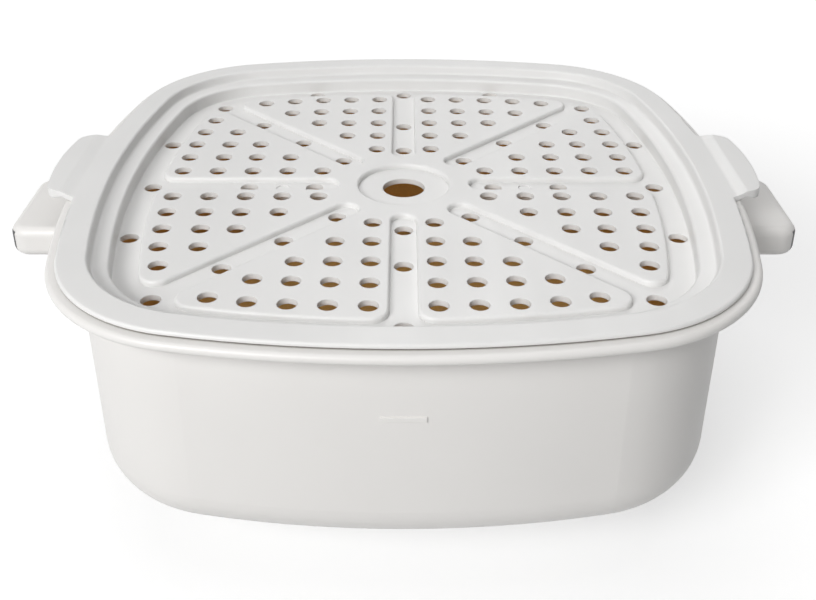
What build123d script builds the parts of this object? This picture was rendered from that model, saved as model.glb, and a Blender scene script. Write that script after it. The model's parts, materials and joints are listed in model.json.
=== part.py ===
from build123d import *
from math import atan2, cos, degrees, sin, sqrt, tan, radians
import os

# Square electric hot pot with a lift-off steamer tray, in millimetres.
# +Z is up, the origin is on the table under the middle of the pot.
# The handles are on +X and -X, and the mains inlet is at the back, on +Y.

# General fits
CLEARANCE = 0.2  # round loose fits and moulded recesses
THREAD_CLEARANCE = 0.05  # round a screw in its thread
OVERRUN = 2.0  # how far a cut runs past the face it opens

# Outline seen from above, at the edge of the tray's rim: bowed sides, round corners
RIM_HALF = 145.0
RIM_SIDE_RADIUS = 428.0
RIM_CORNER_RADIUS = 66.0

# Heights of the stack
FOOT_HEIGHT = 4.0
BASE_HEIGHT = 28.0
POT_HEIGHT = 101.4  # underside of the floor to the top of the flange

# Pot: one pressed sheet with a flange and a rolled edge
POT_SHEET = 1.5
WALL_INSET = 8.6  # outer face of the wall, inside the edge of the rim
POT_DRAFT = 0.5  # degrees
POT_BASE_RADIUS = 20.0
FLANGE_OVERHANG = 4.0  # past the edge of the rim
FLANGE_BEAD = 4.1
FLANGE_BEAD_ROUND_SHARE = 0.48
NECK_RADIUS = 3.0
FILL_MARK_LENGTH = 17.0
FILL_MARK_HEIGHT = 2.4
FILL_MARK_PROUD = 0.6
FILL_MARK_DEPTH = 36.3  # below the top of the flange

# Steamer tray: moulded sheet with a stepped rim, a channel and a raised plateau
TRAY_SHEET = 1.8
TRAY_FLOOR = 2.6  # sheet of the plateau and the channel, where the holes are
RIM_THICKNESS = 2.5
RIM_EDGE_RADIUS = 1.1
RIM_GAP = 0.8  # open line between the rim and the flange
RIM_GAP_DEPTH = 2.5
RIM_GAP_RADIUS = 0.3
TRAY_FIT = 0.3  # between the tray and the pot wall
TRAY_DEPTH = 9.7  # rim top down to the plateau
STEP_DROP = 4.7  # rim top down to the ledge
STEP_RUN = 1.0
LEDGE_WIDTH = 6.8
LEDGE_FALL = 0.8
WELL_RUN = 0.3
WELL_FOOT_RADIUS = 0.6
STEP_RADIUS = 1.3
PANEL_RISE = 2.4  # plateau above the channel and grooves
PANEL_INSET = 30.8  # inside the edge of the rim
PANEL_TIP_SHARE = 0.5  # of the room beside a diagonal groove on the plateau's corner
PANEL_EDGE_RADIUS = 1.3
GROOVE_WIDTH = 11.0
GROOVE_START = 30.6
GROOVE_COUNT = 8
HUB_RADIUS = 21.0
HUB_HOLE_RADIUS = 9.75
STEAM_HOLE_RADIUS = 4.0
ROW_COUNT = 5
BOWED_ROWS_FROM = 4
ROW_BOW_SHARES = (0.0, 0.03, 0.08, 0.18, 0.36)  # of the row pitch, hole by hole
# Places of the holes, as shares of the plateau's half-width
ROW_FIRST_SHARE = 0.338
ROW_PITCH_SHARE = 0.1454
HOLE_FIRST_SHARE = 0.1169
HOLE_PITCH_SHARE = 0.1353
GROOVE_HOLE_SHARES = (0.3643, 0.6305)  # in all eight grooves
DIAGONAL_HOLE_SHARES = (0.9142, 1.2067)
CHANNEL_HOLE_SHARE = 1.0228
CHANNEL_OFFSET_SHARE = 0.4238
DIMPLE_SHARE = 0.4939
DIMPLE_RADIUS = 3.0
DIMPLE_DEPTH = 0.5

# Lifting ears of the tray
EAR_ROOT_HALF = 34.5
EAR_END_HALF = 28.5
EAR_REACH = 14.0  # past the rim, at the middle of the ear
EAR_BOW = 3.0
EAR_RISE = 1.5
EAR_SLOPE = 4.5
EAR_CORNER_RADIUS = 7.0
EAR_THICKNESS = 2.5
EAR_LIP_HEIGHT = 4.0
EAR_LIP_WIDTH = 2.2
EAR_ROOT_INSET = 5.0

# Handles, their hidden brackets, inlays, covers and screws
HANDLE_LENGTH = 41.4  # out from the pot wall
HANDLE_HALF = 27.5
HANDLE_HEIGHT = 14.5
HANDLE_DROP = 16.9  # flange top down to the top of the handle
HANDLE_CORNER_RADIUS = 8.5
HANDLE_EDGE_RADIUS = 4.2
HANDLE_WALL = 3.2
HANDLE_WALL_GAP = 0.3
BRACKET_SHEET = 2.0
BRACKET_HALF = 18.0
BRACKET_HEIGHT = 9.0
TONGUE_HALF = 12.0
TONGUE_THICKNESS = 3.0
TONGUE_REACH = 28.0  # out from the pot wall
HANDLE_COVER_THICKNESS = 2.5
HANDLE_COVER_LIP = 1.5
INLAY_THICKNESS = 1.5
INLAY_HEIGHT = 9.6
INLAY_HALF = 25.0
HANDLE_SCREW_HALF = 7.0
HANDLE_SCREW_REACH = 14.0
HANDLE_SCREW_RADIUS = 1.5
HANDLE_SCREW_HEAD_RADIUS = 3.0
HANDLE_SCREW_HEAD_HEIGHT = 1.5
DRIVE_LENGTH_SHARE = 1.25  # cross recess of a screw, of its head's radius
DRIVE_WIDTH_SHARE = 0.36
DRIVE_DEPTH_SHARE = 0.6  # of its head's height

# Heating set under the pot floor
HEAT_PLATE_SHARE = 0.6512  # of the base cover's half-width
HEAT_PLATE_THICKNESS = 6.0
ELEMENT_RING_SHARE = 0.5116  # of the base cover's half-width
ELEMENT_TUBE_RADIUS = 3.25
ELEMENT_GAP_ANGLE = 22.0
ELEMENT_BEND_RADIUS = 8.0
TERMINAL_GAP = 1.8  # to the inlet's body
TERMINAL_RADIUS = 1.2
TERMINAL_LENGTH = 7.0
GROOVE_CLEARANCE = 0.05
THERMOSTAT_SHARE = 0.318  # of the heating ring's radius
THERMOSTAT_RADIUS = 8.0
THERMOSTAT_FLANGE_RADIUS = 10.0
THERMOSTAT_FLANGE = 1.0
THERMOSTAT_HEIGHT = 10.0
BLADE_WIDTH = 6.3
BLADE_THICKNESS = 0.8
BLADE_REACH = 14.5
STRAP_SHEET = 1.0
STRAP_LENGTH = 38.0
STRAP_WIDTH = 22.0
STRAP_SCREW_REACH = 15.0
STRAP_SCREW_RADIUS = 1.5
STRAP_SCREW_HEAD_RADIUS = 2.75
STRAP_SCREW_HEAD_HEIGHT = 2.0
STRAP_SCREW_BITE = 4.0
FUSE_SHARE = 0.79  # of the heating ring's radius
FUSE_RADIUS = 3.0
FUSE_LENGTH = 14.0
CLIP_SHEET = 0.8
CLIP_WIDTH = 8.0
CLIP_FOOT = 3.0
EARTH_STUD_SHARE = 0.318  # of the heating ring's radius
EARTH_STUD_RADIUS = 3.0
EARTH_STUD_LENGTH = 12.5
LEAD_RADIUS = 1.3
LEAD_CLEARANCE = 2.0  # below the heating tube
LEAD_LOOP = 24.0  # how far the neutral lead swings out
LEAD_LOW = 40.0  # where the live lead has come down to the thermostat
LEAD_TURN = 17.5
LEAD_EASE = 8.0
LEAD_BEND = 2.4

# Base cover, its seal, shield, standoffs, screws and feet
BASE_HALF = 86.0
BASE_CORNER_RADIUS = 42.0
BASE_WALL = 2.5
BASE_FLOOR = 2.5
BASE_EDGE_RADIUS = 2.5
SEAL_THICKNESS = 1.5
SEAL_WIDTH = 3.0
SCREW_INSET = 12.0
SCREW_Y = 20.0
STANDOFF_RADIUS = 4.0
BOSS_RADIUS = 5.5
BOSS_HEIGHT = 4.7
BASE_SCREW_RADIUS = 2.0
BASE_SCREW_HEAD_RADIUS = 3.5
BASE_SCREW_HEAD_HEIGHT = 2.4
BASE_SCREW_RECESS = 3.0
BASE_SCREW_BITE = 8.0
SHIELD_SHEET = 0.8
SHIELD_INSET = 4.0
SHIELD_INLET_GAP = 14.0
SHIELD_CORNER_RADIUS = 12.0
FOOT_INSET = 28.0
FOOT_RADIUS = 10.0
FOOT_SINK = 1.0
FOOT_EDGE_RADIUS = 1.2
FOOT_STEM_RADIUS = 3.0
VENT_COUNT = 5
VENT_LENGTH = 36.0
VENT_WIDTH = 3.0
VENT_PITCH = 9.0

# Mains inlet in the back of the base cover
INLET_HEIGHT = 18.0  # centre above the table
INLET_BODY_WIDTH = 28.0
INLET_BODY_HEIGHT = 20.0
INLET_BODY_DEPTH = 20.0
INLET_BODY_RADIUS = 3.0
INLET_FLANGE_WIDTH = 50.0
INLET_FLANGE_HEIGHT = 22.5
INLET_FLANGE_THICKNESS = 2.5
INLET_FLANGE_RADIUS = 5.0
INLET_CAVITY_WIDTH = 24.5
INLET_CAVITY_HEIGHT = 16.5
INLET_CAVITY_DEPTH = 16.0
INLET_CAVITY_RADIUS = 3.0
PIN_SPACING = 14.0
PIN_WIDTH = 2.0
PIN_HEIGHT = 4.0
PIN_SETBACK = 3.0  # pin tips behind the flange's face
PIN_TAIL = 8.0
LINE_PIN_RISE = 3.0  # above the inlet's centre
EARTH_PIN_FALL = 1.5
INLET_SCREW_SPACING = 40.0
INLET_SCREW_RADIUS = 1.5
INLET_SCREW_HEAD_RADIUS = 2.8
INLET_SCREW_HEAD_HEIGHT = 1.4
INLET_SCREW_LENGTH = 9.0

# Widths and levels that follow from the sizes above
FLANGE_HALF = RIM_HALF + FLANGE_OVERHANG
POT_WALL_HALF = RIM_HALF - WALL_INSET
RIM_WIDTH = WALL_INSET + POT_SHEET + TRAY_FIT + TRAY_SHEET
PANEL_HALF = RIM_HALF - PANEL_INSET
ROW_FIRST = PANEL_HALF * ROW_FIRST_SHARE
ROW_PITCH = PANEL_HALF * ROW_PITCH_SHARE
HOLE_FIRST = PANEL_HALF * HOLE_FIRST_SHARE
HOLE_PITCH = PANEL_HALF * HOLE_PITCH_SHARE
GROOVE_HOLES = [PANEL_HALF * share for share in GROOVE_HOLE_SHARES]
DIAGONAL_HOLES = [PANEL_HALF * share for share in DIAGONAL_HOLE_SHARES]
CHANNEL_HOLE = PANEL_HALF * CHANNEL_HOLE_SHARE
CHANNEL_HOLE_OFFSET = PANEL_HALF * CHANNEL_OFFSET_SHARE
DIMPLE_PLACE = PANEL_HALF * DIMPLE_SHARE
HANDLE_END = POT_WALL_HALF + HANDLE_LENGTH
POT_BOTTOM = FOOT_HEIGHT + BASE_HEIGHT
FLANGE_TOP = POT_BOTTOM + POT_HEIGHT
RIM_UNDER = FLANGE_TOP
RIM_TOP = RIM_UNDER + RIM_THICKNESS
PANEL_TOP = RIM_TOP - TRAY_DEPTH
CHANNEL_TOP = PANEL_TOP - PANEL_RISE
HANDLE_TOP = FLANGE_TOP - HANDLE_DROP
HANDLE_BOTTOM = HANDLE_TOP - HANDLE_HEIGHT
TONGUE_MIDDLE = HANDLE_TOP - HANDLE_HEIGHT / 2
HANDLE_SCREW_TIP = HANDLE_TOP - HANDLE_WALL / 2
PLATE_UNDER = POT_BOTTOM - HEAT_PLATE_THICKNESS
COVER_FLOOR_TOP = FOOT_HEIGHT + BASE_FLOOR
SHIELD_UNDER = COVER_FLOOR_TOP + BOSS_HEIGHT
SHIELD_TOP = SHIELD_UNDER + SHIELD_SHEET
COVER_TOP = POT_BOTTOM - SEAL_THICKNESS
INLET_FACE = BASE_HALF + INLET_FLANGE_THICKNESS
INLET_BACK = BASE_HALF - INLET_BODY_DEPTH
SCREW_X = BASE_HALF - SCREW_INSET
FOOT_PLACE = BASE_HALF - FOOT_INSET
SHIELD_LENGTH = 2 * (BASE_HALF - SHIELD_INSET)
SHIELD_WIDTH = 2 * (INLET_BACK - SHIELD_INLET_GAP)
HEAT_PLATE_RADIUS = BASE_HALF * HEAT_PLATE_SHARE
ELEMENT_RING_RADIUS = BASE_HALF * ELEMENT_RING_SHARE
THERMOSTAT_X = -ELEMENT_RING_RADIUS * THERMOSTAT_SHARE
FUSE_X = -ELEMENT_RING_RADIUS * FUSE_SHARE
EARTH_STUD_PLACE = ELEMENT_RING_RADIUS * EARTH_STUD_SHARE
LINE_PIN_Z = INLET_HEIGHT + LINE_PIN_RISE
EARTH_PIN_Z = INLET_HEIGHT - EARTH_PIN_FALL
BLADE_Z = PLATE_UNDER - THERMOSTAT_HEIGHT + BLADE_THICKNESS / 2
PIN_END = INLET_BACK - PIN_TAIL
FUSE_Z = PLATE_UNDER - FUSE_RADIUS
LEAD_RUN_Z = PLATE_UNDER - ELEMENT_TUBE_RADIUS - LEAD_RADIUS - LEAD_CLEARANCE
ELEMENT_END_ANGLE = 90 - ELEMENT_GAP_ANGLE
BEND_REACH = ELEMENT_RING_RADIUS + ELEMENT_BEND_RADIUS
BEND_X = BEND_REACH * cos(radians(ELEMENT_END_ANGLE))
BEND_Y = BEND_REACH * sin(radians(ELEMENT_END_ANGLE))
TAIL_X = BEND_X - ELEMENT_BEND_RADIUS
TAIL_Y = INLET_BACK - TERMINAL_GAP - TERMINAL_LENGTH
LEAD_Y = TAIL_Y + TERMINAL_LENGTH / 2

# Centres of the rim outline's arcs: a side arc on the X axis, a corner arc on the diagonal
SIDE_X = RIM_HALF - RIM_SIDE_RADIUS
ARC_REACH = RIM_SIDE_RADIUS - RIM_CORNER_RADIUS
CORNER_XY = (SIDE_X + sqrt(2 * ARC_REACH**2 - SIDE_X**2)) / 2
JOIN_ANGLE = degrees(atan2(CORNER_XY, CORNER_XY - SIDE_X))
SIDE_AXIS = Axis((SIDE_X, 0, 0), (0, 0, 1))
CORNER_AXIS = Axis((CORNER_XY, CORNER_XY, 0), (0, 0, 1))
CORNER_ANGLE = 90 - 2 * JOIN_ANGLE
PANEL_CORNER_HALF = (RIM_CORNER_RADIUS - PANEL_INSET) * sin(radians(CORNER_ANGLE / 2))
PANEL_CORNER_RADIUS = PANEL_TIP_SHARE * (PANEL_CORNER_HALF - GROOVE_WIDTH / 2)
UP = (0, 0, 1)


def quarters(shape):
    """Four copies of a shape, a quarter turn apart."""
    return [Rot(0, 0, 90 * turn) * shape for turn in range(4)]


def outline(half):
    """Flat face with the rim's shape, at the given half-width."""
    inset = RIM_HALF - half
    side = CenterArc((SIDE_X, 0), RIM_SIDE_RADIUS - inset, -JOIN_ANGLE, 2 * JOIN_ANGLE)
    corner = CenterArc((CORNER_XY, CORNER_XY), RIM_CORNER_RADIUS - inset, JOIN_ANGLE, CORNER_ANGLE)
    return make_face(quarters(side) + quarters(corner))


def block(face, bottom, top):
    """A flat face at height zero, raised into a solid between two heights."""
    return extrude(Pos(0, 0, bottom) * face, top - bottom, dir=UP)


def rounded_profile(corners):
    """Upright face in the XZ plane through (x, z, corner radius) points."""
    points = [(x, z) for x, z, radius in corners]
    radii = [radius for x, z, radius in corners]
    return Plane.XZ * make_face(FilletPolyline(*points, radius=radii, close=True))


def ring(profile):
    """Solid that carries an upright profile round the rim outline; the profile's x is the half-width."""
    side = revolve(profile.rotate(SIDE_AXIS, -JOIN_ANGLE), SIDE_AXIS, 2 * JOIN_ANGLE)
    corner = revolve(profile.rotate(SIDE_AXIS, JOIN_ANGLE), CORNER_AXIS, CORNER_ANGLE)
    return Part() + quarters(side) + quarters(corner)


def side_strip(profile, half_length, radius):
    """Solid that carries an upright profile a short way along the middle of the +X side."""
    half_angle = degrees(half_length / radius)
    return revolve(profile.rotate(SIDE_AXIS, -half_angle), SIDE_AXIS, 2 * half_angle)


def rod(radius, start, length, axis="z"):
    """Round bar from a start point along +Z or +Y."""
    tilt = Rot(-90, 0, 0) if axis == "y" else Rot(0, 0, 0)
    return Pos(*start) * tilt * extrude(Circle(radius), length, dir=UP)


def brick(x, y, z):
    """Box between two limits on each axis."""
    size = [high - low for low, high in (x, y, z)]
    middle = [(high + low) / 2 for low, high in (x, y, z)]
    return Pos(*middle) * Box(*size)


def drive_recess(radius, height):
    """Cross recess for a screw head whose face looks down at height zero."""
    length, width = radius * DRIVE_LENGTH_SHARE, radius * DRIVE_WIDTH_SHARE
    cross = Rectangle(length, width) + Rectangle(width, length)
    return block(cross, -OVERRUN, height * DRIVE_DEPTH_SHARE)


def tube(path, radius):
    """Round bar along a path."""
    return sweep(Plane(origin=path @ 0, z_dir=path % 0) * Circle(radius), path)


def lead(*points):
    """Insulated wire along straight runs with round bends."""
    return tube(FilletPolyline(*points, radius=LEAD_BEND), LEAD_RADIUS)


def four_corners(x, y, shape):
    """Four copies of a shape, at plus and minus x and y."""
    return [Pos(side_x * x, side_y * y) * shape for side_x in (-1, 1) for side_y in (-1, 1)]


def wall_half(height):
    """Half-width of the pot's outer face at a height."""
    return POT_WALL_HALF - (FLANGE_TOP - height) * tan(radians(POT_DRAFT))


def pot_shell():
    base_half = wall_half(POT_BOTTOM)
    floor_half = base_half - POT_BASE_RADIUS - POT_SHEET
    bead_round = FLANGE_BEAD * FLANGE_BEAD_ROUND_SHARE
    under = FLANGE_TOP - POT_SHEET
    floor_top = POT_BOTTOM + POT_SHEET
    shell = ring(
        rounded_profile(
            [
                (floor_half, POT_BOTTOM, 0),
                (base_half, POT_BOTTOM, POT_BASE_RADIUS),
                (wall_half(under), under, NECK_RADIUS),
                (FLANGE_HALF - FLANGE_BEAD, under, 0),
                (FLANGE_HALF - FLANGE_BEAD, FLANGE_TOP - FLANGE_BEAD, bead_round),
                (FLANGE_HALF, FLANGE_TOP - FLANGE_BEAD, bead_round),
                (FLANGE_HALF, FLANGE_TOP, bead_round),
                (POT_WALL_HALF - POT_SHEET, FLANGE_TOP, NECK_RADIUS + POT_SHEET),
                (base_half - POT_SHEET, floor_top, POT_BASE_RADIUS - POT_SHEET),
                (floor_half, floor_top, 0),
            ]
        )
    )
    return shell + block(outline(floor_half), POT_BOTTOM, floor_top) + fill_mark()


def fill_mark():
    """Short level line pressed outwards in the front wall."""
    middle = FLANGE_TOP - FILL_MARK_DEPTH
    low, high = middle - FILL_MARK_HEIGHT / 2, middle + FILL_MARK_HEIGHT / 2
    root = wall_half(middle) - POT_SHEET / 2
    face = wall_half(middle) + FILL_MARK_PROUD
    edge = FILL_MARK_PROUD / 2
    profile = rounded_profile([(root, low, 0), (face, low, edge), (face, high, edge), (root, high, 0)])
    strip = side_strip(profile, FILL_MARK_LENGTH / 2, face - SIDE_X)
    return Rot(0, 0, -90) * strip


def tray_rim():
    """Stepped edge of the tray, from the rim down to the channel."""
    rim_in = RIM_HALF - RIM_WIDTH
    step_foot = rim_in - STEP_RUN
    ledge_in = step_foot - LEDGE_WIDTH
    well_foot = ledge_in - WELL_RUN
    ledge_top = RIM_TOP - STEP_DROP
    ledge_end = ledge_top - LEDGE_FALL
    channel_in = PANEL_HALF + TRAY_SHEET
    channel_under = CHANNEL_TOP - TRAY_FLOOR
    outer = WELL_FOOT_RADIUS + TRAY_SHEET
    return ring(
        rounded_profile(
            [
                (RIM_HALF, RIM_TOP, RIM_EDGE_RADIUS),
                (rim_in, RIM_TOP, STEP_RADIUS),
                (step_foot, ledge_top, STEP_RADIUS),
                (ledge_in, ledge_end, STEP_RADIUS),
                (well_foot, CHANNEL_TOP, WELL_FOOT_RADIUS),
                (channel_in, CHANNEL_TOP, 0),
                (channel_in, channel_under, 0),
                (well_foot + TRAY_SHEET, channel_under, outer),
                (ledge_in + TRAY_SHEET, ledge_end - TRAY_SHEET, 0),
                (step_foot + TRAY_SHEET, ledge_top - TRAY_SHEET, STEP_RADIUS),
                (rim_in + TRAY_SHEET, RIM_UNDER, 0),
                (RIM_HALF - RIM_GAP_DEPTH, RIM_UNDER, 0),
                (RIM_HALF - RIM_GAP_DEPTH, RIM_UNDER + RIM_GAP, 0),
                (RIM_HALF, RIM_UNDER + RIM_GAP, RIM_GAP_RADIUS),
            ]
        )
    )


def panel_face(inset):
    """Plan of the raised plateau: the outline less eight grooves and the sunken hub."""
    face = outline(PANEL_HALF - inset)
    far = 2 * PANEL_HALF
    slot = Pos(GROOVE_START - inset + far / 2, 0) * SlotOverall(far, GROOVE_WIDTH + 2 * inset)
    for turn in range(GROOVE_COUNT):
        face -= Rot(0, 0, turn * 360 / GROOVE_COUNT) * slot
    face -= Circle(HUB_RADIUS + inset)
    outside = [v for v in face.vertices() if v.center().length > PANEL_HALF - PANEL_CORNER_RADIUS]
    tips = [v for v in outside if groove_offset(v) < GROOVE_WIDTH]
    return fillet(tips, PANEL_CORNER_RADIUS - inset)


def groove_offset(vertex):
    """Distance of a point from the middle line of its nearest groove."""
    step = 360 / GROOVE_COUNT
    angle = degrees(atan2(vertex.Y, vertex.X))
    off = angle - step * round(angle / step)
    return abs(vertex.center().length * sin(radians(off)))


def hole_places():
    """Centres of all the small steam holes."""
    places = []
    for row in range(1, ROW_COUNT + 1):
        for hole in range(row):
            bow = ROW_BOW_SHARES[hole] * ROW_PITCH if row >= BOWED_ROWS_FROM else 0
            out = ROW_FIRST + (row - 1) * ROW_PITCH - bow
            along = HOLE_FIRST + hole * HOLE_PITCH
            places += [(out, along), (out, -along)]
    places += [(out, 0) for out in GROOVE_HOLES + [CHANNEL_HOLE]]
    places += [(out * sqrt(0.5), out * sqrt(0.5)) for out in GROOVE_HOLES + DIAGONAL_HOLES]
    places += [(CHANNEL_HOLE, CHANNEL_HOLE_OFFSET), (CHANNEL_HOLE, -CHANNEL_HOLE_OFFSET)]
    return places


def tray_ear():
    """Lifting ear on the +X side: a plate that climbs off the rim, with a lip round its end."""
    root = RIM_HALF - EAR_ROOT_INSET
    corner = RIM_HALF + EAR_REACH - EAR_BOW
    tip = RIM_HALF + EAR_REACH
    top = RIM_TOP + EAR_RISE
    edges = [
        Line((root, -EAR_ROOT_HALF), (corner, -EAR_END_HALF)),
        ThreePointArc((corner, -EAR_END_HALF), (tip, 0), (corner, EAR_END_HALF)),
        Line((corner, EAR_END_HALF), (root, EAR_ROOT_HALF)),
        Line((root, EAR_ROOT_HALF), (root, -EAR_ROOT_HALF)),
    ]
    plan = make_face(edges)
    plan = fillet([v for v in plan.vertices() if v.X > RIM_HALF], EAR_CORNER_RADIUS)
    bend = RIM_HALF + EAR_SLOPE
    climb = rounded_profile(
        [
            (root, RIM_UNDER, 0),
            (RIM_HALF, RIM_UNDER, EAR_SLOPE),
            (bend, top - EAR_THICKNESS, EAR_SLOPE),
            (tip, top - EAR_THICKNESS, 0),
            (tip, top, 0),
            (bend, top, EAR_SLOPE),
            (RIM_HALF, RIM_TOP, EAR_SLOPE),
            (root, RIM_TOP, 0),
        ]
    )
    sheet = extrude(climb, EAR_ROOT_HALF, both=True) & block(plan, RIM_UNDER, top + OVERRUN)
    clear = FLANGE_HALF + CLEARANCE
    low = top - EAR_LIP_HEIGHT
    droop = rounded_profile(
        [
            (clear, top - EAR_THICKNESS, 0),
            (clear + EAR_SLOPE, low, EAR_SLOPE),
            (tip, low, 0),
            (tip, top - EAR_THICKNESS / 2, 0),
            (clear, top - EAR_THICKNESS / 2, 0),
        ]
    )
    lip_plan = plan - offset(plan, -EAR_LIP_WIDTH)
    return sheet + (extrude(droop, EAR_ROOT_HALF, both=True) & block(lip_plan, low, top))


def steamer_tray():
    channel_under = CHANNEL_TOP - TRAY_FLOOR
    plateau = block(panel_face(0), CHANNEL_TOP, PANEL_TOP)
    plateau = fillet(plateau.edges().group_by(Axis.Z)[-1], PANEL_EDGE_RADIUS)
    pocket = block(panel_face(TRAY_SHEET), channel_under, PANEL_TOP - TRAY_FLOOR)
    ear = tray_ear()
    tray = tray_rim() + block(outline(PANEL_HALF + TRAY_SHEET), channel_under, CHANNEL_TOP) + plateau
    tray = tray + ear + mirror(ear, Plane.YZ) - pocket
    drill = block(Circle(STEAM_HOLE_RADIUS), channel_under - OVERRUN, PANEL_TOP + OVERRUN)
    holes = [hole for x, y in hole_places() for hole in quarters(Pos(x, y) * drill)]
    holes.append(block(Circle(HUB_HOLE_RADIUS), channel_under - OVERRUN, PANEL_TOP + OVERRUN))
    dimple = block(Circle(DIMPLE_RADIUS), CHANNEL_TOP - DIMPLE_DEPTH, PANEL_TOP)
    holes += [Pos(DIMPLE_PLACE, 0) * dimple, Pos(-DIMPLE_PLACE, 0) * dimple]
    return tray - holes


def handle_plan(inset):
    """Plan of the +X handle, running into the pot wall."""
    root = POT_WALL_HALF - HANDLE_WALL
    end, half = HANDLE_END - inset, HANDLE_HALF - inset
    corner = HANDLE_CORNER_RADIUS - inset
    points = [(root, -half), (end, -half), (end, half), (root, half)]
    return make_face(FilletPolyline(*points, radius=[0, corner, corner, 0], close=True))


def bracket_profile(grow):
    """Upright section of the bracket's foot on the pot wall."""
    low = TONGUE_MIDDLE - BRACKET_HEIGHT / 2 - grow
    high = TONGUE_MIDDLE + BRACKET_HEIGHT / 2 + grow
    out = BRACKET_SHEET + grow
    return rounded_profile(
        [
            (wall_half(low), low, 0),
            (wall_half(low) + out, low, 0),
            (wall_half(high) + out, high, 0),
            (wall_half(high), high, 0),
        ]
    )


def tongue(grow):
    """Flat tongue of the bracket, reaching into the handle."""
    start = POT_WALL_HALF + BRACKET_SHEET / 2
    thick = TONGUE_THICKNESS / 2 + grow
    return brick(
        (start, POT_WALL_HALF + TONGUE_REACH + grow),
        (-TONGUE_HALF - grow, TONGUE_HALF + grow),
        (TONGUE_MIDDLE - thick, TONGUE_MIDDLE + thick),
    )


def handle_screw_places():
    reach = POT_WALL_HALF + HANDLE_SCREW_REACH
    return [(reach, -HANDLE_SCREW_HALF), (reach, HANDLE_SCREW_HALF)]


def handle_bracket():
    foot = side_strip(bracket_profile(0), BRACKET_HALF, POT_WALL_HALF - SIDE_X)
    bracket = foot + tongue(0)
    for x, y in handle_screw_places():
        bracket -= rod(HANDLE_SCREW_RADIUS + CLEARANCE, (x, y, HANDLE_BOTTOM), HANDLE_HEIGHT)
    return bracket


def handle_body():
    """The handle's outer shape, before the hollow and the seats are cut."""
    body = block(handle_plan(0), HANDLE_BOTTOM, HANDLE_TOP)
    rims = body.edges().group_by(Axis.Z)
    rims = [edge for edge in rims[0] + rims[-1] if edge.center().X > POT_WALL_HALF]
    return fillet(rims, HANDLE_EDGE_RADIUS)


def inlay_band(thickness, height):
    """Band that follows the handle's end face."""
    low = TONGUE_MIDDLE - height / 2
    start = HANDLE_END - HANDLE_CORNER_RADIUS
    band = block(handle_plan(0) - handle_plan(thickness), low, low + height)
    return band & brick((start, HANDLE_END), (-INLAY_HALF, INLAY_HALF), (low, low + height))


def cover_plan(grow):
    """Plan of the plate that closes the underside of the handle."""
    start = POT_WALL_HALF + BRACKET_SHEET + HANDLE_WALL - HANDLE_COVER_LIP - grow
    end = HANDLE_END - HANDLE_WALL - INLAY_THICKNESS + HANDLE_COVER_LIP + grow
    half = HANDLE_HALF - HANDLE_EDGE_RADIUS - HANDLE_WALL + HANDLE_COVER_LIP + grow
    corner = HANDLE_CORNER_RADIUS - HANDLE_EDGE_RADIUS
    return Pos((start + end) / 2, 0) * RectangleRounded(end - start, 2 * half, corner)


def handle():
    """Hollow handle, open below, with two posts that stand on the bracket's tongue."""
    low, high = HANDLE_BOTTOM - OVERRUN, HANDLE_TOP + OVERRUN
    ceiling = HANDLE_TOP - HANDLE_WALL
    post_foot = TONGUE_MIDDLE + TONGUE_THICKNESS / 2
    body = handle_body() - block(outline(POT_WALL_HALF + HANDLE_WALL_GAP), low, high)
    body -= side_strip(bracket_profile(CLEARANCE), BRACKET_HALF + CLEARANCE, POT_WALL_HALF - SIDE_X)
    body -= tongue(CLEARANCE)
    body -= block(cover_plan(-HANDLE_COVER_LIP), low, ceiling)
    body -= block(cover_plan(CLEARANCE), low, HANDLE_BOTTOM + HANDLE_COVER_THICKNESS)
    for x, y in handle_screw_places():
        body += rod(HANDLE_SCREW_HEAD_RADIUS, (x, y, post_foot), ceiling - post_foot)
    for x, y in handle_screw_places():
        body -= rod(HANDLE_SCREW_RADIUS + THREAD_CLEARANCE, (x, y, low), HANDLE_SCREW_TIP - low)
    return body - inlay_band(INLAY_THICKNESS, INLAY_HEIGHT)


def handle_inlay():
    return inlay_band(INLAY_THICKNESS - THREAD_CLEARANCE, INLAY_HEIGHT - CLEARANCE) & handle_body()


def handle_cover():
    """Plate under the handle, with two pads that stand against the tongue."""
    top = HANDLE_BOTTOM + HANDLE_COVER_THICKNESS
    cover = block(cover_plan(0), HANDLE_BOTTOM, top)
    head = HANDLE_SCREW_HEAD_HEIGHT + CLEARANCE
    for x, y in handle_screw_places():
        pad_height = TONGUE_MIDDLE - TONGUE_THICKNESS / 2 - top
        cover += rod(HANDLE_SCREW_HEAD_RADIUS, (x, y, top), pad_height)
    for x, y in handle_screw_places():
        cover -= rod(HANDLE_SCREW_RADIUS + CLEARANCE, (x, y, HANDLE_BOTTOM), HANDLE_HEIGHT)
        cover -= rod(HANDLE_SCREW_HEAD_RADIUS + CLEARANCE, (x, y, HANDLE_BOTTOM - OVERRUN), head + OVERRUN)
    return cover


def handle_screws():
    """Two screws in each handle, up through the cover and the tongue into the handle's posts."""
    seat = HANDLE_BOTTOM + HANDLE_SCREW_HEAD_HEIGHT + CLEARANCE
    screws = []
    for x, y in handle_screw_places():
        low = seat - HANDLE_SCREW_HEAD_HEIGHT
        head = rod(HANDLE_SCREW_HEAD_RADIUS, (x, y, low), HANDLE_SCREW_HEAD_HEIGHT)
        head -= Pos(x, y, low) * drive_recess(HANDLE_SCREW_HEAD_RADIUS, HANDLE_SCREW_HEAD_HEIGHT)
        screws.append(head + rod(HANDLE_SCREW_RADIUS, (x, y, seat), HANDLE_SCREW_TIP - seat))
    return Compound(screws + [mirror(screw, Plane.YZ) for screw in screws])


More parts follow.
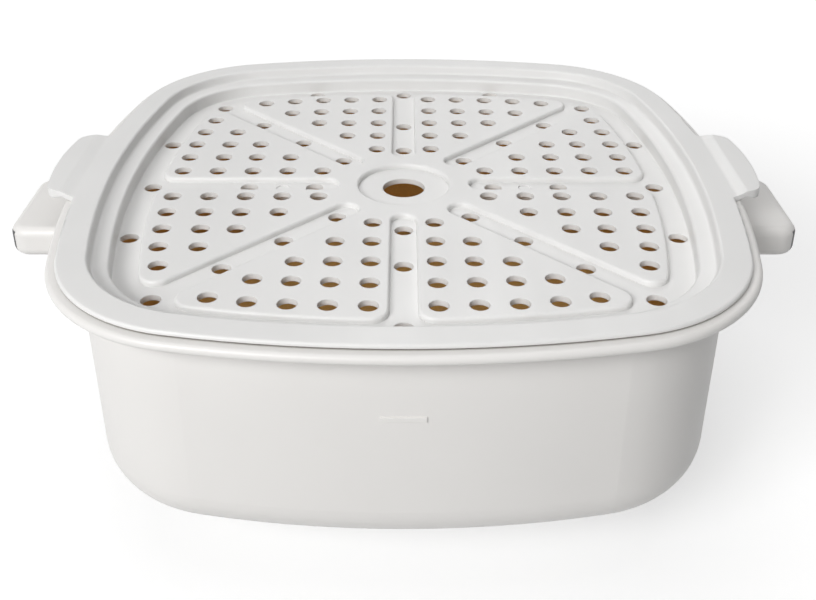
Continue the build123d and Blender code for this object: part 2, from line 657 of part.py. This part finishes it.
def element_path():
    """Centre line of the heating tube: an open ring whose two ends turn to the back."""
    sweep_angle = 360 - 2 * ELEMENT_GAP_ANGLE
    open_ring = CenterArc((0, 0, PLATE_UNDER), ELEMENT_RING_RADIUS, 90 + ELEMENT_GAP_ANGLE, sweep_angle)
    bend = CenterArc((BEND_X, BEND_Y, PLATE_UNDER), ELEMENT_BEND_RADIUS, 180, ELEMENT_END_ANGLE)
    tail = Line((TAIL_X, BEND_Y, PLATE_UNDER), (TAIL_X, TAIL_Y, PLATE_UNDER))
    side = bend.edges() + tail.edges()
    return Wire(open_ring.edges() + side + [mirror(edge, Plane.YZ).edge() for edge in side])


def heating_element():
    return tube(element_path(), ELEMENT_TUBE_RADIUS)


def element_terminals():
    pin = rod(TERMINAL_RADIUS, (TAIL_X, TAIL_Y, PLATE_UNDER), TERMINAL_LENGTH, "y")
    return Compound([pin, mirror(pin, Plane.YZ)])


def heat_plate():
    """Aluminium disc under the pot floor, grooved for the heating tube."""
    plate = block(Circle(HEAT_PLATE_RADIUS), PLATE_UNDER, POT_BOTTOM)
    plate -= tube(element_path(), ELEMENT_TUBE_RADIUS + GROOVE_CLEARANCE)
    thread = STRAP_SCREW_RADIUS + THREAD_CLEARANCE
    for y in (-STRAP_SCREW_REACH, STRAP_SCREW_REACH):
        plate -= rod(thread, (THERMOSTAT_X, y, PLATE_UNDER - OVERRUN), STRAP_SCREW_BITE + OVERRUN)
    return plate


def thermostat():
    """Snap-disc thermostat, flange up against the plate, with a blade at each side."""
    bottom = PLATE_UNDER - THERMOSTAT_HEIGHT
    body = rod(THERMOSTAT_RADIUS, (0, 0, bottom), THERMOSTAT_HEIGHT)
    body += rod(THERMOSTAT_FLANGE_RADIUS, (0, 0, PLATE_UNDER - THERMOSTAT_FLANGE), THERMOSTAT_FLANGE)
    half = BLADE_WIDTH / 2
    body += brick((-half, half), (-BLADE_REACH, BLADE_REACH), (bottom, bottom + BLADE_THICKNESS))
    return Pos(THERMOSTAT_X, 0) * body


def strap_screw_places():
    return [(THERMOSTAT_X, -STRAP_SCREW_REACH), (THERMOSTAT_X, STRAP_SCREW_REACH)]


def thermostat_strap():
    """Sheet strap that presses the thermostat's flange on the plate."""
    top = PLATE_UNDER - THERMOSTAT_FLANGE
    face = Rectangle(STRAP_WIDTH, STRAP_LENGTH) - Circle(THERMOSTAT_RADIUS + CLEARANCE)
    strap = Pos(THERMOSTAT_X, 0) * block(face, top - STRAP_SHEET, top)
    for x, y in strap_screw_places():
        strap -= rod(STRAP_SCREW_RADIUS + CLEARANCE, (x, y, top - STRAP_SHEET - OVERRUN), OVERRUN * 2)
    return strap


def strap_screws():
    seat = PLATE_UNDER - THERMOSTAT_FLANGE - STRAP_SHEET
    screws = []
    for x, y in strap_screw_places():
        head = rod(STRAP_SCREW_HEAD_RADIUS, (x, y, seat - STRAP_SCREW_HEAD_HEIGHT), STRAP_SCREW_HEAD_HEIGHT)
        screws.append(head + rod(STRAP_SCREW_RADIUS, (x, y, seat), PLATE_UNDER + STRAP_SCREW_BITE - seat))
    return Compound(screws)


def thermal_fuse():
    return rod(FUSE_RADIUS, (FUSE_X, -FUSE_LENGTH / 2, FUSE_Z), FUSE_LENGTH, "y")


def fuse_clip():
    """Sheet clip round the fuse: a half loop, two legs up to the plate and a foot."""
    inner = FUSE_RADIUS + THREAD_CLEARANCE
    outer = inner + CLIP_SHEET
    leg = Rectangle(CLIP_SHEET, FUSE_RADIUS)
    side = inner + CLIP_SHEET / 2
    loop = (Circle(outer) - Circle(inner)) & Pos(0, -outer / 2) * Rectangle(2 * outer, outer)
    loop += [Pos(-side, FUSE_RADIUS / 2) * leg, Pos(side, FUSE_RADIUS / 2) * leg]
    foot = Rectangle(CLIP_FOOT, CLIP_SHEET)
    loop += Pos(outer + CLIP_FOOT / 2, FUSE_RADIUS - CLIP_SHEET / 2) * foot
    upright = Pos(FUSE_X, CLIP_WIDTH / 2, FUSE_Z) * Rot(90, 0, 0) * loop
    return extrude(upright, CLIP_WIDTH, dir=(0, -1, 0))


def earth_stud():
    bottom = PLATE_UNDER - EARTH_STUD_LENGTH
    return rod(EARTH_STUD_RADIUS, (EARTH_STUD_PLACE, EARTH_STUD_PLACE, bottom), EARTH_STUD_LENGTH)


def neutral_lead():
    """From the neutral pin's tail to the heating tube's right terminal."""
    return lead(
        (PIN_SPACING / 2 + PIN_WIDTH / 2, LEAD_Y, LINE_PIN_Z),
        (LEAD_LOOP, LEAD_Y, LINE_PIN_Z),
        (LEAD_LOOP, LEAD_Y, PLATE_UNDER),
        (TAIL_X + TERMINAL_RADIUS, LEAD_Y, PLATE_UNDER),
    )


def live_lead():
    """From the live pin's tail to the thermostat."""
    return lead(
        (-PIN_SPACING / 2 - PIN_WIDTH / 2, LEAD_Y, LINE_PIN_Z),
        (THERMOSTAT_X, LEAD_Y, LINE_PIN_Z),
        (THERMOSTAT_X, LEAD_LOW, BLADE_Z),
        (THERMOSTAT_X, BLADE_REACH, BLADE_Z),
    )


def fuse_lead():
    """From the thermostat to the thermal fuse."""
    return lead(
        (THERMOSTAT_X, -BLADE_REACH, BLADE_Z),
        (THERMOSTAT_X, -LEAD_TURN, BLADE_Z),
        (FUSE_X, -LEAD_TURN, FUSE_Z),
        (FUSE_X, -FUSE_LENGTH / 2, FUSE_Z),
    )


def return_lead():
    """From the thermal fuse, under the heating tube, to its left terminal."""
    return lead(
        (FUSE_X, FUSE_LENGTH / 2, FUSE_Z),
        (FUSE_X, FUSE_LENGTH / 2 + LEAD_EASE, FUSE_Z),
        (FUSE_X, FUSE_LENGTH / 2 + 2 * LEAD_EASE, LEAD_RUN_Z),
        (FUSE_X, LEAD_Y, LEAD_RUN_Z),
        (FUSE_X, LEAD_Y, PLATE_UNDER),
        (-TAIL_X - TERMINAL_RADIUS, LEAD_Y, PLATE_UNDER),
    )


def earth_lead():
    """From the earth pin's tail to the stud on the heat plate."""
    return lead(
        (0, PIN_END, EARTH_PIN_Z),
        (0, EARTH_STUD_PLACE, EARTH_PIN_Z),
        (EARTH_STUD_PLACE - EARTH_STUD_RADIUS, EARTH_STUD_PLACE, EARTH_PIN_Z),
    )


def floor_standoffs():
    """Threaded posts welded under the pot floor."""
    post = rod(STANDOFF_RADIUS, (0, 0, SHIELD_TOP), POT_BOTTOM - SHIELD_TOP)
    depth = BASE_SCREW_BITE + CLEARANCE
    post -= rod(BASE_SCREW_RADIUS + THREAD_CLEARANCE, (0, 0, SHIELD_TOP - OVERRUN), depth + OVERRUN)
    return Compound(four_corners(SCREW_X, SCREW_Y, post))


def heat_shield():
    plan = RectangleRounded(SHIELD_LENGTH, SHIELD_WIDTH, SHIELD_CORNER_RADIUS)
    shield = block(plan, SHIELD_UNDER, SHIELD_TOP)
    hole = rod(BASE_SCREW_RADIUS + CLEARANCE, (0, 0, SHIELD_UNDER - OVERRUN), SHIELD_SHEET + 2 * OVERRUN)
    return shield - four_corners(SCREW_X, SCREW_Y, hole)


def base_plan(inset):
    side = 2 * (BASE_HALF - inset)
    return RectangleRounded(side, side, BASE_CORNER_RADIUS - inset)


def base_seal():
    return block(base_plan(0) - base_plan(SEAL_WIDTH), COVER_TOP, POT_BOTTOM)


def base_cover():
    """Moulded tub under the pot floor, with screw bosses, vents, foot seats and the inlet's window."""
    cover = block(base_plan(0), FOOT_HEIGHT, COVER_TOP)
    cover = fillet(cover.edges().group_by(Axis.Z)[0], BASE_EDGE_RADIUS)
    cover -= block(base_plan(BASE_WALL), COVER_FLOOR_TOP, COVER_TOP + OVERRUN)
    cover += four_corners(SCREW_X, SCREW_Y, rod(BOSS_RADIUS, (0, 0, COVER_FLOOR_TOP), BOSS_HEIGHT))
    below = FOOT_HEIGHT - OVERRUN
    through = SHIELD_UNDER + OVERRUN - below
    recess = BASE_SCREW_RECESS + OVERRUN
    cover -= four_corners(SCREW_X, SCREW_Y, rod(BASE_SCREW_RADIUS + CLEARANCE, (0, 0, below), through))
    cover -= four_corners(SCREW_X, SCREW_Y, rod(BASE_SCREW_HEAD_RADIUS + CLEARANCE, (0, 0, below), recess))
    seat = rod(FOOT_RADIUS + CLEARANCE, (0, 0, below), FOOT_SINK + OVERRUN)
    cover -= four_corners(FOOT_PLACE, FOOT_PLACE, seat)
    cover -= four_corners(FOOT_PLACE, FOOT_PLACE, rod(FOOT_STEM_RADIUS, (0, 0, below), through))
    vent = block(SlotOverall(VENT_LENGTH, VENT_WIDTH), below, COVER_FLOOR_TOP + OVERRUN)
    first = -VENT_PITCH * (VENT_COUNT - 1) / 2
    cover -= [Pos(0, first + VENT_PITCH * row) * vent for row in range(VENT_COUNT)]
    wide, tall = INLET_BODY_WIDTH + CLEARANCE, INLET_BODY_HEIGHT + CLEARANCE
    window = RectangleRounded(wide, tall, INLET_BODY_RADIUS)
    cover -= back_block(window, BASE_HALF + OVERRUN, BASE_HALF - BASE_WALL - OVERRUN)
    return cover - inlet_screw_bars(INLET_SCREW_RADIUS + THREAD_CLEARANCE)


def back_block(face, front, back):
    """An upright face at the inlet's height, made solid between two depths."""
    upright = Pos(0, front, INLET_HEIGHT) * Rot(90, 0, 0) * face
    return extrude(upright, front - back, dir=(0, -1, 0))


def inlet_screw_bars(radius):
    """Two bars along the inlet's screw axes."""
    start = INLET_FACE - INLET_SCREW_LENGTH
    half = INLET_SCREW_SPACING / 2
    return [rod(radius, (x, start, INLET_HEIGHT), INLET_SCREW_LENGTH, "y") for x in (-half, half)]


def inlet_housing():
    """Recessed three-pin mains inlet with a screw flange."""
    flange = RectangleRounded(INLET_FLANGE_WIDTH, INLET_FLANGE_HEIGHT, INLET_FLANGE_RADIUS)
    body = RectangleRounded(INLET_BODY_WIDTH, INLET_BODY_HEIGHT, INLET_BODY_RADIUS)
    cavity = RectangleRounded(INLET_CAVITY_WIDTH, INLET_CAVITY_HEIGHT, INLET_CAVITY_RADIUS)
    housing = back_block(flange, INLET_FACE, BASE_HALF) + back_block(body, BASE_HALF, INLET_BACK)
    housing -= back_block(cavity, INLET_FACE + OVERRUN, INLET_FACE - INLET_CAVITY_DEPTH)
    housing -= inlet_screw_bars(INLET_SCREW_RADIUS + CLEARANCE)
    return housing - pin_bars(THREAD_CLEARANCE)


def pin_bars(grow):
    """The three pins, or the slots that hold them."""
    bars = []
    half = PIN_SPACING / 2
    for x, z in ((-half, LINE_PIN_Z), (half, LINE_PIN_Z), (0, EARTH_PIN_Z)):
        wide, tall = PIN_WIDTH / 2 + grow, PIN_HEIGHT / 2 + grow
        bars.append(brick((x - wide, x + wide), (PIN_END, INLET_FACE - PIN_SETBACK), (z - tall, z + tall)))
    return bars


def inlet_pins():
    return Compound(pin_bars(0))


def inlet_screws():
    screws = []
    half = INLET_SCREW_SPACING / 2
    for x, bar in zip((-half, half), inlet_screw_bars(INLET_SCREW_RADIUS)):
        head = rod(INLET_SCREW_HEAD_RADIUS, (x, INLET_FACE, INLET_HEIGHT), INLET_SCREW_HEAD_HEIGHT, "y")
        turn = Pos(x, INLET_FACE + INLET_SCREW_HEAD_HEIGHT, INLET_HEIGHT) * Rot(90, 0, 0)
        recess = drive_recess(INLET_SCREW_HEAD_RADIUS, INLET_SCREW_HEAD_HEIGHT)
        screws.append(bar + head - turn * recess)
    return Compound(screws)


def base_screws():
    seat = FOOT_HEIGHT + BASE_SCREW_RECESS
    low = seat - BASE_SCREW_HEAD_HEIGHT
    screw = rod(BASE_SCREW_HEAD_RADIUS, (0, 0, low), BASE_SCREW_HEAD_HEIGHT)
    screw -= Pos(0, 0, low) * drive_recess(BASE_SCREW_HEAD_RADIUS, BASE_SCREW_HEAD_HEIGHT)
    screw += rod(BASE_SCREW_RADIUS, (0, 0, seat), SHIELD_TOP + BASE_SCREW_BITE - seat)
    return Compound(four_corners(SCREW_X, SCREW_Y, screw))


def rubber_feet():
    pad = rod(FOOT_RADIUS, (0, 0, 0), FOOT_HEIGHT + FOOT_SINK)
    pad = fillet(pad.edges().group_by(Axis.Z)[0], FOOT_EDGE_RADIUS)
    pad += rod(FOOT_STEM_RADIUS, (0, 0, 0), COVER_FLOOR_TOP + BASE_FLOOR / 2)
    return Compound(four_corners(FOOT_PLACE, FOOT_PLACE, pad))


def build_parts():
    """Every piece by its name, in place."""
    parts = {}
    single = (
        pot_shell,
        steamer_tray,
        handle_screws,
        heat_plate,
        heating_element,
        element_terminals,
        thermostat,
        thermostat_strap,
        strap_screws,
        thermal_fuse,
        fuse_clip,
        earth_stud,
        live_lead,
        fuse_lead,
        return_lead,
        neutral_lead,
        earth_lead,
        floor_standoffs,
        heat_shield,
        base_seal,
        base_cover,
        base_screws,
        rubber_feet,
        inlet_housing,
        inlet_pins,
        inlet_screws,
    )
    for make in single:
        parts[make.__name__] = make()
    for make in (handle, handle_bracket, handle_inlay, handle_cover):
        right = make()
        parts["right_" + make.__name__] = right
        parts["left_" + make.__name__] = mirror(right, Plane.YZ)
    return parts


os.makedirs("parts", exist_ok=True)
for name, piece in build_parts().items():
    export_step(piece, f"parts/{name}.step")
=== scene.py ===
import json
import math

import bpy
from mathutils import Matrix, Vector

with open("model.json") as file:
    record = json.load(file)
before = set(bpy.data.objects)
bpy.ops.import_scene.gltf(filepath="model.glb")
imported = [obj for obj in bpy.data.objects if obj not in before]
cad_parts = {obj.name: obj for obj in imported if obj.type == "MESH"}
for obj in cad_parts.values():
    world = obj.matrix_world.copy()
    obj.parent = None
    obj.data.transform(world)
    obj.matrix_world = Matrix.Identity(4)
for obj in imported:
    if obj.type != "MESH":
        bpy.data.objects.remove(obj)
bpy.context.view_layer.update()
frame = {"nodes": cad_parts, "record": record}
nodes = frame["nodes"]
scene = bpy.context.scene
scene.view_settings.view_transform = "Standard"

# Camera, fitted to the photograph; the image is 816 x 600
IMAGE_WIDTH = 816
FOCAL_PIXELS = 1066.5
SENSOR_MM = 36.0
CAMERA_PLACE = (0.0, -0.44566, 0.34487)
CAMERA_TILT = 27.04  # degrees below the horizon
CENTRE_OFFSET = (4.2, -100.0)  # optical axis from the image's middle, in pixels
CAMERA_REACH = (0.01, 50.0)  # nearest and furthest that it sees, in metres

# Lamps: name, place, diameter, power
LIT_POINT = (0.0, 0.0, 0.08)
LAMPS = (
    ("key", (-1.0, -1.25, 1.05), 0.8, 17.0),
    ("front", (-0.5, -1.45, 1.1), 0.8, 10.5),
    ("top", (0.0, 0.1, 1.8), 1.6, 2.0),
    ("through", (0.0, 0.1, 1.9), 1.6, 6.5),
    ("back", (0.15, 1.3, 1.2), 0.9, 5.0),
)
THROUGH_TRAY = "through"  # the lamp whose light the thin tray lets pass into the pot
TRAY = "steamer_tray"
WORLD_LIGHT = 0.07  # what the white world gives the object

# Floor; its shine grows between two distances from the part, in metres, and 1 shows as white
FLOOR_SIZE = 12.0
FLOOR_GREY = (0.6, 0.6, 0.6, 1.0)
FLOOR_ROUGHNESS = 0.9
FLOOR_SPECULAR = 0.1
FLOOR_FADE = (0.35, 1.3)
FLOOR_SHINE = (0.55, 1.0)
WHITE = (1.0, 1.0, 1.0, 1.0)

# Colours, linear
OFF_WHITE = (0.80, 0.785, 0.765)
TRAY_WHITE = (0.79, 0.785, 0.775)
BROWN_COAT = (0.80, 0.52, 0.19)
SEAM_SHADE_GREY = (0.16, 0.14, 0.12)
INLAY_GREY = (0.035, 0.035, 0.038)
BLACK = (0.018, 0.018, 0.019)
STEEL = (0.55, 0.55, 0.56)
ALUMINIUM = (0.72, 0.73, 0.74)
SHEATH = (0.30, 0.29, 0.28)
BRASS = (0.62, 0.44, 0.18)
RUBBER = (0.03, 0.03, 0.03)
LEAD_BROWN = (0.11, 0.045, 0.02)
LEAD_BLUE = (0.02, 0.06, 0.25)
LEAD_GREEN = (0.03, 0.16, 0.03)

# Below, the scale of a texture is per metre, a relief is its strength and its depth in metres, a stray
# is how far the roughness goes down and up, and a shade is a share of the colour

# The noise values that are spread from end to end
NOISE_MOST = (0.3, 0.7)
NOISE_MIDDLE = (0.35, 0.65)

# Moulded plastic; a grain is its scale and its depth
PLASTIC_DRIFT = 14.0
PLASTIC_SHADE = 0.965
STREAKS = 90.0
STREAK_DETAIL = 5.0
STREAK_STRETCH = (1.0, 0.12, 1.0)
PLASTIC_STRAY = (-0.05, 0.07)
FINE_GRAIN = (1400.0, 0.00004)
BASE_GRAIN = (900.0, 0.00012)
BLACK_GRAIN = (1100.0, 0.0001)
GRAIN_STRENGTH = 0.25
MOULDED_EDGE = 0.0005  # rounding of edges, too fine for the solids, in metres
EDGE_SAMPLES = 4
BASE_SHADE = 0.97

# Light that spreads in the tray's thin plastic
GLOW_WEIGHT = 0.3
GLOW_RADIUS = (1.0, 1.0, 1.0)
GLOW_SCALE = 0.002

# Metal
METAL_LINES = 1500.0
DRAWN = (1.0, 0.04, 1.0)
CAST = (1.0, 1.0, 1.0)
METAL_SHADE = 0.82
METAL_STRAY = (-0.07, 0.1)
METAL_RELIEF = (0.12, 0.00003)

# Rubber, and the woven sleeves of the leads
SPECK_DETAIL = 2.0
RUBBER_SPECKS = 2600.0
RUBBER_SHADES = (0.7, 1.35)
RUBBER_ROUGHNESS = 0.78
RUBBER_RELIEF = (0.4, 0.00005)
WEAVE = 1600.0
WEAVE_SHADES = (1.5, 0.5)
WEAVE_ROUGHNESS = 0.7
WEAVE_RELIEF = (0.5, 0.0001)

# The pot's coats. Inside is a face that looks inwards (its place times its normal is under a limit, in
# metres) and lies below the flange, or one that looks upwards and lies low; heights in metres
INWARD_LIMIT = -0.001
COAT_TOP = 0.1285
UPWARD_LIMIT = 0.3
FLOOR_ZONE_TOP = 0.06
ENAMEL_DRIFT = 9.0
ENAMEL_SHADE = 0.97
COAT_SPECKS = 1100.0
SPECK_VALUES = (0.55, 0.72)
SPECK_SHADE = 1.2
PEEL = 420.0
PEEL_ROUGHNESS = (0.33, 0.42)
PEEL_RELIEF = (0.2, 0.00006)

# Painted shade in narrow seams, such as under the tray's rim, where the enamel goes dark grey as walls
# close in: how far it looks for walls, in metres, and the open share of the view at which the painted
# shade is full and gone
SEAM_REACH = 0.003
SEAM_AIR = (0.1, 0.42)
SEAM_SAMPLES = 8


def feed(tree, socket, value):
    """Links another node's output to an input, or sets the input's own value."""
    if isinstance(value, bpy.types.NodeSocket):
        tree.links.new(value, socket)
    else:
        socket.default_value = value


def fill(tree, node, values):
    """Feeds a node's inputs by name; a name that is no input is a property, and is set."""
    for name, value in values.items():
        if name in node.inputs:
            feed(tree, node.inputs[name], value)
        else:
            setattr(node, name, value)


def add(tree, kind, **values):
    """A new node of a kind, filled by name."""
    node = tree.nodes.new(kind)
    fill(tree, node, values)
    return node


def material(name):
    """A new node material; returns it with its node tree and its shader."""
    made = bpy.data.materials.new(name)
    made.use_nodes = True
    tree = made.node_tree
    return made, tree, tree.nodes["Principled BSDF"]


def own_place(tree):
    """The place on the object, in its own coordinates."""
    return add(tree, "ShaderNodeTexCoord").outputs["Object"]


def math_node(tree, operation, *values):
    """A math node fed by sockets or numbers; returns its output."""
    node = add(tree, "ShaderNodeMath", operation=operation)
    for socket, value in zip(node.inputs, values):
        feed(tree, socket, value)
    return node.outputs[0]


def noise(tree, scale, detail=3.0, stretch=None):
    """Noise on the object; stretch draws it out along the axes with a share under 1."""
    place = own_place(tree)
    if stretch:
        place = add(tree, "ShaderNodeMapping", Scale=stretch, Vector=place).outputs["Vector"]
    texture = add(tree, "ShaderNodeTexNoise", Scale=scale, Detail=detail, Vector=place)
    return texture.outputs["Fac"]


def ramp(tree, value, source, result=(0.0, 1.0)):
    """A value mapped from a source range to a result range."""
    node = add(tree, "ShaderNodeMapRange", Value=value)
    ends = ("From Min", "From Max", "To Min", "To Max")
    fill(tree, node, dict(zip(ends, (*source, *result))))
    return node.outputs["Result"]


def mix(tree, factor, first, second):
    """Two colours, each plain or from a socket, mixed by a factor."""
    node = add(tree, "ShaderNodeMix", data_type="RGBA", Factor=factor)
    colours = [socket for socket in node.inputs if socket.type == "RGBA"]
    for socket, value in zip(colours, (first, second)):
        feed(tree, socket, (*value, 1.0) if isinstance(value, tuple) else value)
    return [socket for socket in node.outputs if socket.type == "RGBA"][0]


def shade(colour, share):
    """A colour made darker or lighter."""
    return tuple(channel * share for channel in colour)


def around(roughness, stray):
    """The range of a roughness that strays down and up."""
    return tuple(roughness + step for step in stray)


def bump(tree, height, strength, depth, edge=None):
    """Fine relief as a normal; edge is the radius that softens how sharp edges catch the light."""
    node = add(tree, "ShaderNodeBump", Strength=strength, Distance=depth, Height=height)
    if edge:
        soft = add(tree, "ShaderNodeBevel", samples=EDGE_SAMPLES, Radius=edge)
        feed(tree, node.inputs["Normal"], soft.outputs["Normal"])
    return node.outputs["Normal"]


def plastic(name, colour, roughness, grain=FINE_GRAIN):
    """Moulded plastic: fine grain, slow colour drift, faint rubbed streaks in the gloss."""
    made, tree, shader = material(name)
    drift = ramp(tree, noise(tree, PLASTIC_DRIFT), NOISE_MIDDLE)
    streaks = noise(tree, STREAKS, STREAK_DETAIL, STREAK_STRETCH)
    scale, depth = grain
    fill(tree, shader, {
        "Base Color": mix(tree, drift, shade(colour, PLASTIC_SHADE), colour),
        "Roughness": ramp(tree, streaks, NOISE_MOST, around(roughness, PLASTIC_STRAY)),
        "Normal": bump(tree, noise(tree, scale), GRAIN_STRENGTH, depth, MOULDED_EDGE),
    })
    return made


def tray_plastic():
    """The tray's plastic, thin enough for light to spread in it."""
    made = plastic("tray_plastic", TRAY_WHITE, 0.40)
    fill(made.node_tree, made.node_tree.nodes["Principled BSDF"], {
        "Subsurface Weight": GLOW_WEIGHT,
        "Subsurface Radius": GLOW_RADIUS,
        "Subsurface Scale": GLOW_SCALE,
    })
    return made


def metal(name, colour, roughness, stretch=DRAWN):
    """Plated or bare metal, with drawn lines or an even grain."""
    made, tree, shader = material(name)
    lines = noise(tree, METAL_LINES, stretch=stretch)
    fill(tree, shader, {
        "Metallic": 1.0,
        "Base Color": mix(tree, lines, shade(colour, METAL_SHADE), colour),
        "Roughness": ramp(tree, lines, NOISE_MOST, around(roughness, METAL_STRAY)),
        "Normal": bump(tree, lines, *METAL_RELIEF),
    })
    return made


def two_shades(name, colour, shades, roughness, relief, pattern):
    """Matt stuff in two shades of a colour, raised by the same pattern."""
    made, tree, shader = material(name)
    height = pattern(tree)
    fill(tree, shader, {
        "Base Color": mix(tree, height, *(shade(colour, share) for share in shades)),
        "Roughness": roughness,
        "Normal": bump(tree, height, *relief),
    })
    return made


def sandy(tree):
    """The sandy skin of rubber."""
    return noise(tree, RUBBER_SPECKS, SPECK_DETAIL)


def woven(tree):
    """The cells of a woven sleeve."""
    return add(tree, "ShaderNodeTexVoronoi", Scale=WEAVE, Vector=own_place(tree)).outputs["Distance"]


def sleeve(name, colour):
    """Woven sleeve of a heat-proof wire."""
    return two_shades(name, colour, WEAVE_SHADES, WEAVE_ROUGHNESS, WEAVE_RELIEF, woven)


def pot_inside(tree):
    """One on the faces of the pot that look into it, else zero."""
    place = add(tree, "ShaderNodeSeparateXYZ", Vector=own_place(tree)).outputs
    normal = add(tree, "ShaderNodeNewGeometry").outputs["Normal"]
    facing = add(tree, "ShaderNodeSeparateXYZ", Vector=normal).outputs
    along_x = math_node(tree, "MULTIPLY", place["X"], facing["X"])
    along_y = math_node(tree, "MULTIPLY", place["Y"], facing["Y"])
    inward = math_node(tree, "LESS_THAN", math_node(tree, "ADD", along_x, along_y), INWARD_LIMIT)
    below_edge = math_node(tree, "LESS_THAN", place["Z"], COAT_TOP)
    wall = math_node(tree, "MULTIPLY", inward, below_edge)
    upward = math_node(tree, "GREATER_THAN", facing["Z"], UPWARD_LIMIT)
    low = math_node(tree, "LESS_THAN", place["Z"], FLOOR_ZONE_TOP)
    return math_node(tree, "MAXIMUM", wall, math_node(tree, "MULTIPLY", upward, low))


def pot_coat():
    """Off-white enamel outside, with painted shade in its narrow seams such as under the tray's rim;
    brown non-stick coat with fine specks inside.
    """
    made, tree, shader = material("pot_coat")
    drift = ramp(tree, noise(tree, ENAMEL_DRIFT), NOISE_MIDDLE)
    enamel_unshaded = mix(tree, drift, shade(OFF_WHITE, ENAMEL_SHADE), OFF_WHITE)
    # painted shade: where nearby walls close in, as in the seam under the tray's rim, the enamel is mixed
    # towards a dark grey
    air = add(tree, "ShaderNodeAmbientOcclusion", samples=SEAM_SAMPLES, Distance=SEAM_REACH).outputs["AO"]
    outer = mix(tree, ramp(tree, air, SEAM_AIR), SEAM_SHADE_GREY, enamel_unshaded)
    specks = ramp(tree, noise(tree, COAT_SPECKS, SPECK_DETAIL), SPECK_VALUES)
    inner = mix(tree, specks, BROWN_COAT, shade(BROWN_COAT, SPECK_SHADE))
    peel = noise(tree, PEEL)
    fill(tree, shader, {
        "Base Color": mix(tree, pot_inside(tree), outer, inner),
        "Roughness": ramp(tree, peel, NOISE_MOST, PEEL_ROUGHNESS),
        "Normal": bump(tree, peel, *PEEL_RELIEF),
    })
    return made


def dress():
    """Every node gets the material of its slot in the record; the tray has one of its own."""
    by_slot = {
        "pot_coat": pot_coat(),
        "white_plastic": plastic("handle_plastic", OFF_WHITE, 0.38),
        "grey_plastic": plastic("inlay_plastic", INLAY_GREY, 0.42),
        "base_plastic": plastic("base_plastic", shade(OFF_WHITE, BASE_SHADE), 0.5, BASE_GRAIN),
        "black_plastic": plastic("black_plastic", BLACK, 0.45, BLACK_GRAIN),
        "steel": metal("plated_steel", STEEL, 0.34),
        "aluminium": metal("aluminium", ALUMINIUM, 0.4, CAST),
        "sheath": metal("sheath", SHEATH, 0.5),
        "brass": metal("brass", BRASS, 0.3),
        "rubber": two_shades("rubber", RUBBER, RUBBER_SHADES, RUBBER_ROUGHNESS, RUBBER_RELIEF, sandy),
        "lead_brown": sleeve("lead_brown", LEAD_BROWN),
        "lead_blue": sleeve("lead_blue", LEAD_BLUE),
        "lead_green": sleeve("lead_green", LEAD_GREEN),
    }
    for part in frame["record"]["subparts"]:
        node = nodes[part["node"]]
        node.data.materials.clear()
        node.data.materials.append(by_slot[part["material_slot"]])
    nodes[TRAY].data.materials[0] = tray_plastic()


def area_light(name, place, size, power):
    """A round lamp, turned to the lit point; returns its object."""
    lamp = bpy.data.lights.new(name, "AREA")
    lamp.shape = "DISK"
    lamp.size = size
    lamp.energy = power
    holder = bpy.data.objects.new(name, lamp)
    scene.collection.objects.link(holder)
    holder.location = place
    direction = Vector(LIT_POINT) - Vector(place)
    holder.rotation_euler = direction.to_track_quat("-Z", "Y").to_euler()
    return holder


def pass_tray(lamp):
    """Every node but the tray blocks the lamp's light."""
    solid = bpy.data.collections.new("solid_to_light")
    for name, node in nodes.items():
        if name != TRAY:
            solid.objects.link(node)
    lamp.light_linking.blocker_collection = solid


def seen_rays(tree):
    """One for rays from the camera, reflections and glass, else zero."""
    path = add(tree, "ShaderNodeLightPath").outputs
    total = math_node(tree, "ADD", path["Is Camera Ray"], path["Is Glossy Ray"])
    total = math_node(tree, "ADD", total, path["Is Transmission Ray"])
    return math_node(tree, "MINIMUM", total, 1.0)


def light_scene():
    """Soft light from the left front, from above and from behind, and a weak fill from a white world."""
    for name, place, size, power in LAMPS:
        lamp = area_light(name, place, size, power)
        if name == THROUGH_TRAY:
            pass_tray(lamp)
    world = bpy.data.worlds.new("studio")
    scene.world = world
    world.use_nodes = True
    tree = world.node_tree
    strength = ramp(tree, seen_rays(tree), (0.0, 1.0), (WORLD_LIGHT, 1.0))
    fill(tree, tree.nodes["Background"], {"Color": WHITE, "Strength": strength})


def pale_floor():
    """A floor that keeps the shadow and fades to white away from the part."""
    bpy.ops.mesh.primitive_plane_add(size=FLOOR_SIZE, location=(0.0, 0.0, 0.0))
    floor = bpy.context.object
    floor.name = "floor"
    made, tree, shader = material("floor")
    distance = add(tree, "ShaderNodeVectorMath", operation="LENGTH", Vector=own_place(tree))
    shine = ramp(tree, distance.outputs["Value"], FLOOR_FADE, FLOOR_SHINE)
    fill(tree, shader, {
        "Base Color": FLOOR_GREY,
        "Roughness": FLOOR_ROUGHNESS,
        "Specular IOR Level": FLOOR_SPECULAR,
        "Emission Color": WHITE,
        "Emission Strength": math_node(tree, "MULTIPLY", shine, seen_rays(tree)),
    })
    floor.data.materials.append(made)


def set_camera():
    """The camera that took the photograph, as fitted."""
    data = bpy.data.cameras.new("camera")
    data.sensor_width = SENSOR_MM
    data.lens = FOCAL_PIXELS / IMAGE_WIDTH * SENSOR_MM
    data.shift_x, data.shift_y = (offset / IMAGE_WIDTH for offset in CENTRE_OFFSET)
    data.clip_start, data.clip_end = CAMERA_REACH
    camera = bpy.data.objects.new("camera", data)
    scene.collection.objects.link(camera)
    camera.location = CAMERA_PLACE
    camera.rotation_euler = (math.radians(90 - CAMERA_TILT), 0.0, 0.0)
    scene.camera = camera


dress()
pale_floor()
light_scene()
set_camera()
